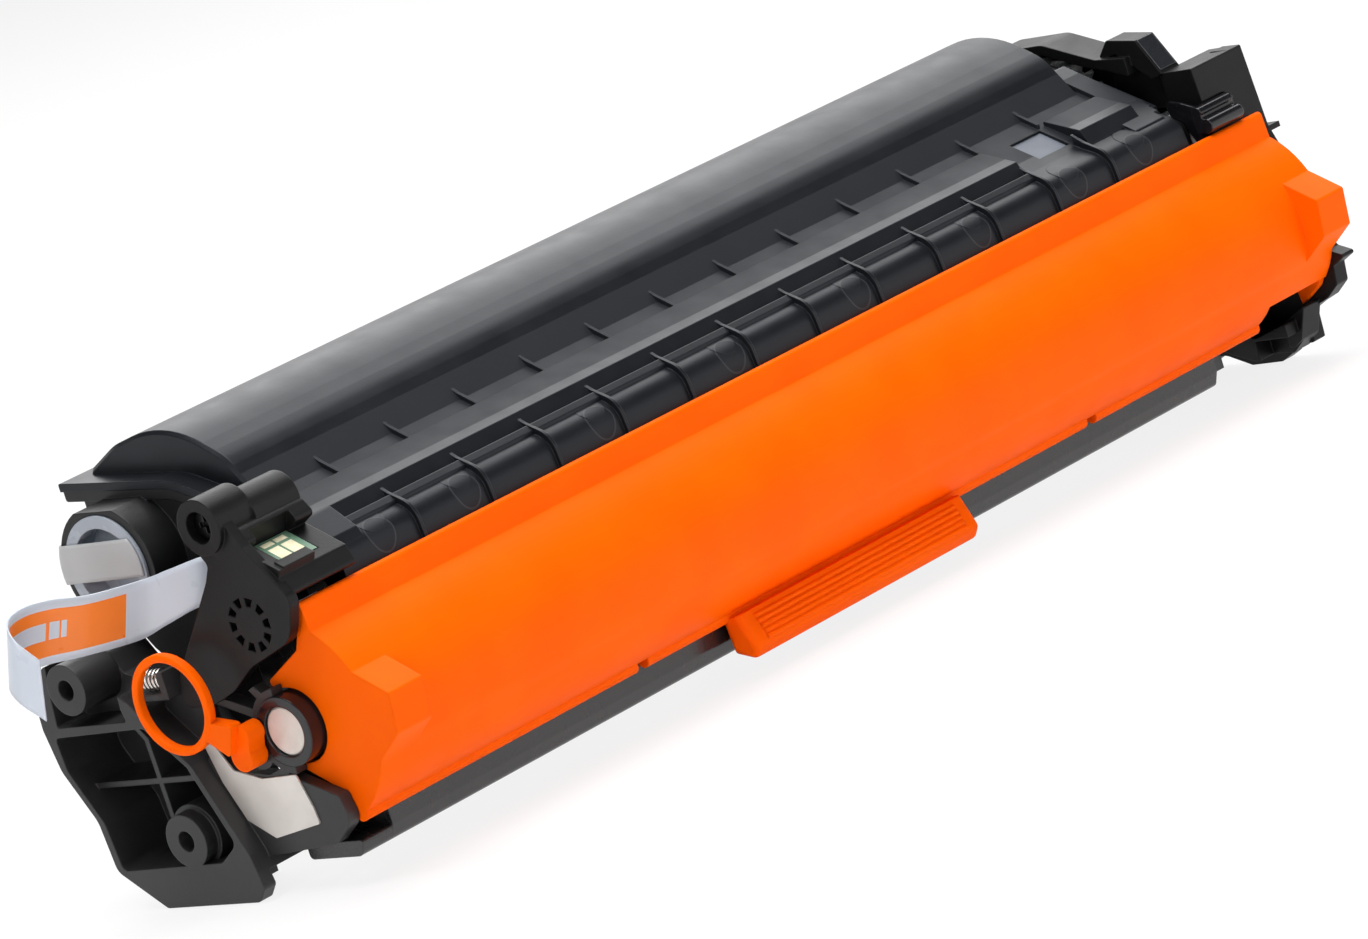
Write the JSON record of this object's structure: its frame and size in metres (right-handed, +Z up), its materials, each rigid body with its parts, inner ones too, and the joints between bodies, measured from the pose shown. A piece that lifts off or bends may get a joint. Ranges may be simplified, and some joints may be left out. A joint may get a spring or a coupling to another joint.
{
  "type": "toner cartridge",
  "caption": "Long black toner cartridge with a domed ribbed tank, geared roller inside, end brackets and a pull-off orange half-round front cover.",
  "frame": {"origin": "on the developer roller's axis, level with the outer face of the bush at the contact end", "axes": "+X along the cartridge towards the drive end, -Y to the front where the cover comes off, +Z up"},
  "size_m": [0.3435, 0.0896, 0.0871],
  "materials": {
    "black_plastic": "satin black moulded plastic with a fine grain",
    "gloss_black": "polished black plastic",
    "orange_plastic": "satin orange plastic",
    "grey_translucent": "grey translucent plastic",
    "white_label": "white label, bare",
    "white_film": "white polyester film",
    "dark_steel": "blackened screw",
    "green_board": "green circuit board",
    "gilt": "gilt contact pads",
    "bright_steel": "bright plated steel",
    "roller_rubber": "dark rubber",
    "blade_rubber": "urethane strip",
    "light_grey_plastic": "light grey acetal",
    "felt": "felt",
    "pink_foam": "pale foam"
  },
  "bodies": {
    "frame": {"hopper_lid": "black_plastic", "hopper_tub": "black_plastic", "fill_port_cap": "grey_translucent", "cap_label": "white_label", "seal_tape": "white_film", "contact_end_cap": "black_plastic", "end_cap_screw": "dark_steel", "chip_board": "green_board", "chip_pads": "gilt", "near_side_frame": "black_plastic", "contact_plate": "bright_steel", "contact_spring": "bright_steel", "roller_bush_near": "gloss_black", "roller_bush_far": "gloss_black", "developer_frame": "black_plastic", "blade_holder": "bright_steel", "doctor_blade": "blade_rubber", "blade_screws": "bright_steel", "roller_seal_film": "white_film", "end_felts": "felt", "foam_seal": "pink_foam", "vent_filter": "grey_translucent", "bearing_plate": "black_plastic", "drive_end_cap": "black_plastic", "coupling_cover": "gloss_black"},
    "roller": {"roller_shaft": "bright_steel", "roller_sleeve": "roller_rubber", "roller_gear": "light_grey_plastic"},
    "agitator": {"agitator_shaft": "light_grey_plastic", "agitator_film": "white_film", "agitator_gear": "light_grey_plastic"},
    "idler": {"idler_gear": "light_grey_plastic"},
    "drive": {"drive_gear": "light_grey_plastic"},
    "cover": {"protective_cover": "orange_plastic"},
    "ring": {"pull_ring": "orange_plastic"}
  },
  "joints": [
    {"name": "roller_spin", "type": "hinge", "parent": "frame", "child": "roller", "pos_m": [0.155, 0, 0], "axis": [1, 0, 0], "continuous": true},
    {"name": "idler_spin", "type": "hinge", "parent": "frame", "child": "idler", "pos_m": [0.2946, 0.0065, 0.01785], "axis": [1, 0, 0], "continuous": true},
    {"name": "drive_spin", "type": "hinge", "parent": "frame", "child": "drive", "pos_m": [0.2946, 0.0257, 0.00713], "axis": [1, 0, 0], "continuous": true},
    {"name": "agitator_spin", "type": "hinge", "parent": "frame", "child": "agitator", "pos_m": [0.2946, 0.036, 0.031], "axis": [1, 0, 0], "continuous": true},
    {"name": "cover_pull", "type": "slide", "parent": "frame", "child": "cover", "axis": [0, -1, 0], "range_m": [0, 0.06]},
    {"name": "ring_pull", "type": "slide", "parent": "frame", "child": "ring", "axis": [-1, 0, 0], "range_m": [0, 0.012]}
  ],
  "couplings": [
    {"joint": "idler_spin", "follows": "roller_spin", "ratio": -0.9},
    {"joint": "drive_spin", "follows": "roller_spin", "ratio": 0.75},
    {"joint": "agitator_spin", "follows": "roller_spin", "ratio": -0.64286}
  ]
}
